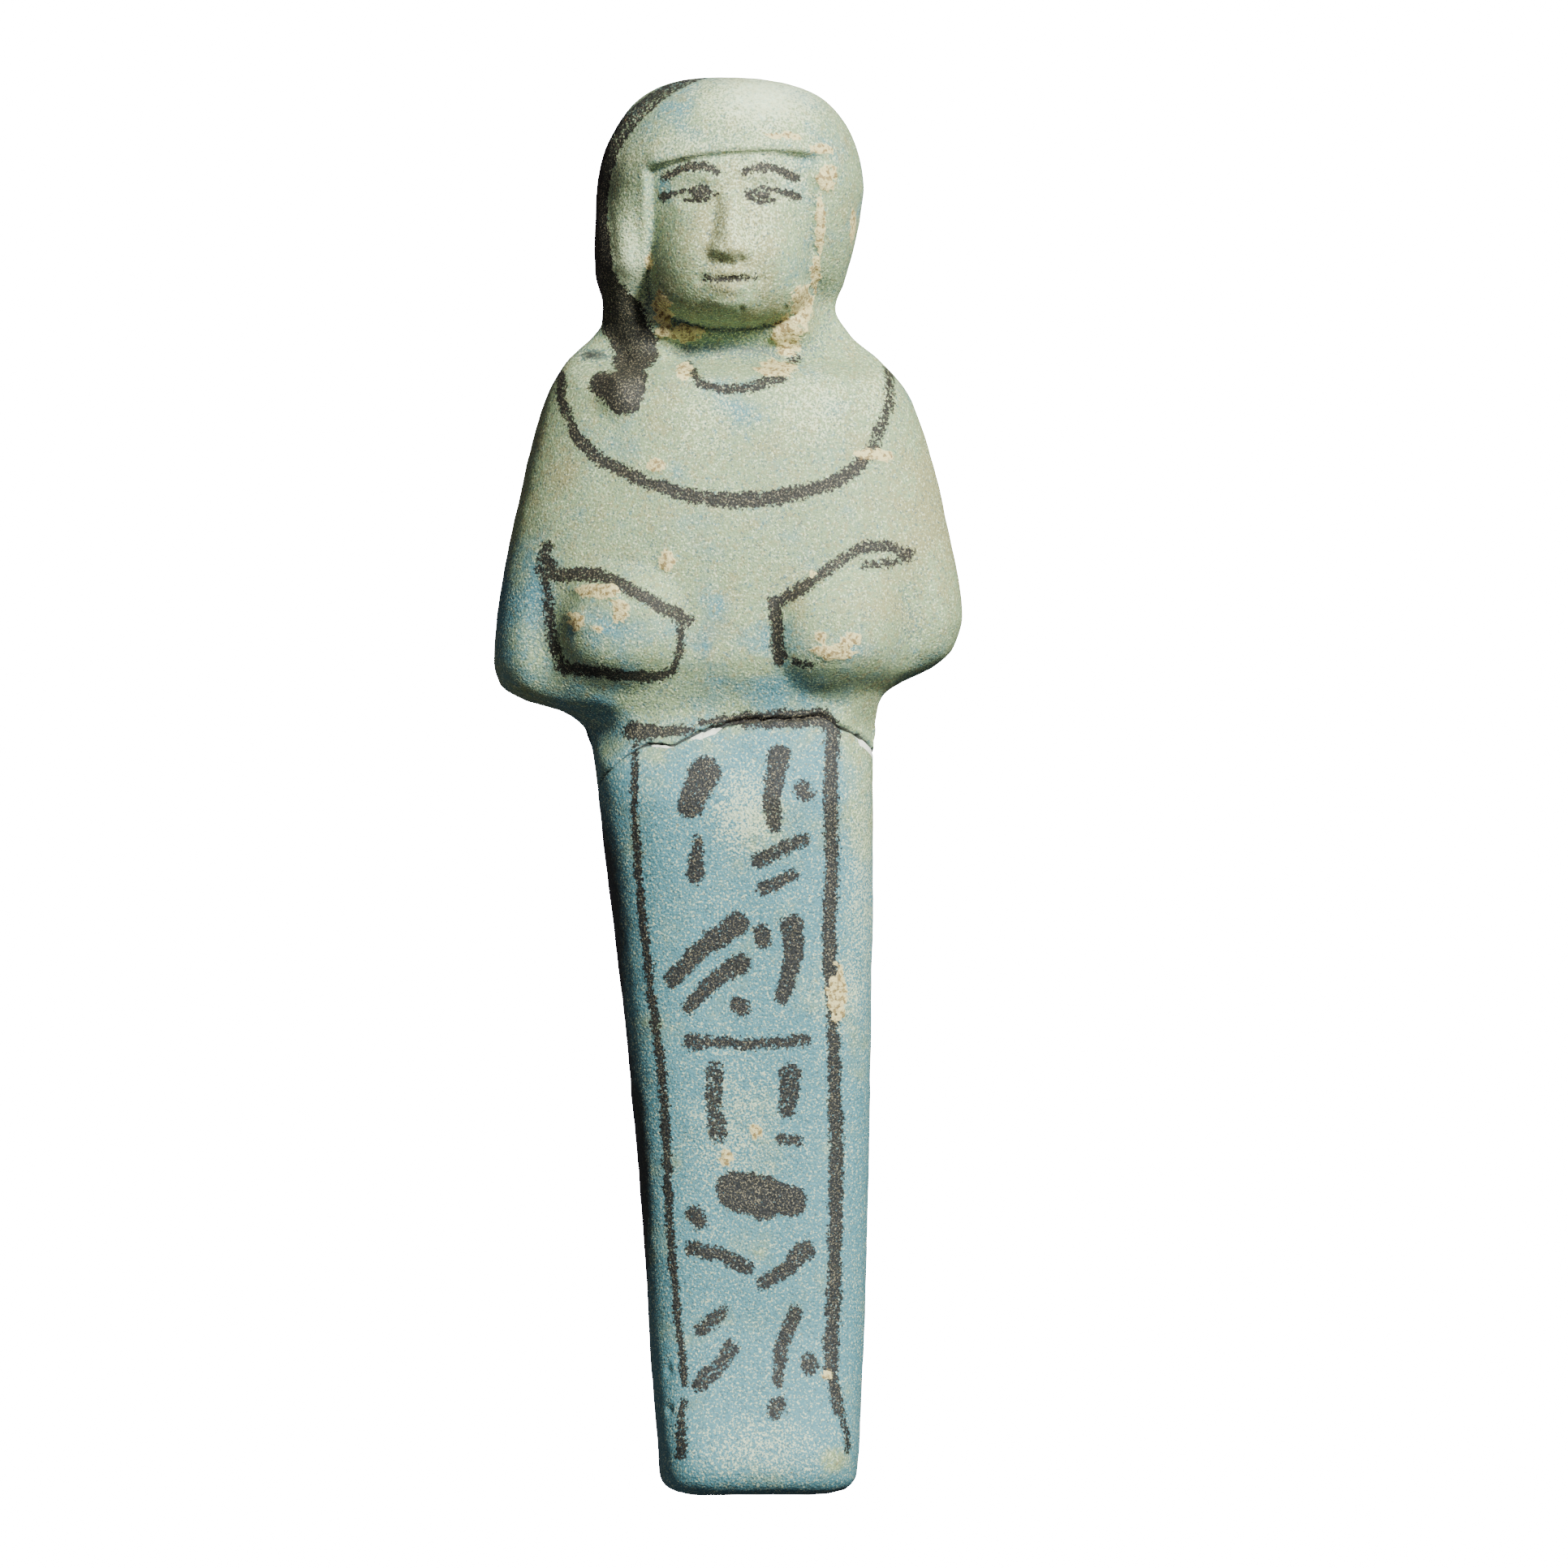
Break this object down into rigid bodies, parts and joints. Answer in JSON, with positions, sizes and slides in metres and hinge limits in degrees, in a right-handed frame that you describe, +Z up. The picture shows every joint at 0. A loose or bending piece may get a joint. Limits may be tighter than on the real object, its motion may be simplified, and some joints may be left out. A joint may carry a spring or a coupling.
{
  "type": "ushabti figurine",
  "caption": "Moulded faience figurine of a mummy-shaped servant with a wig, a side lock and hands on the chest, lying on its flat back.",
  "frame": {"origin": "bottom centre of the lying figure's box, in the plane of its flat back", "axes": "+Y towards the crown of the head, +Z up out of the face, +X to the viewer's right"},
  "size_m": [0.04, 0.12, 0.0216],
  "materials": {
    "faience": "weathered matt blue-green glaze with black painted lines and sandy burial crust"
  },
  "bodies": {
    "root": {"ushabti": "faience"}
  },
  "joints": []
}
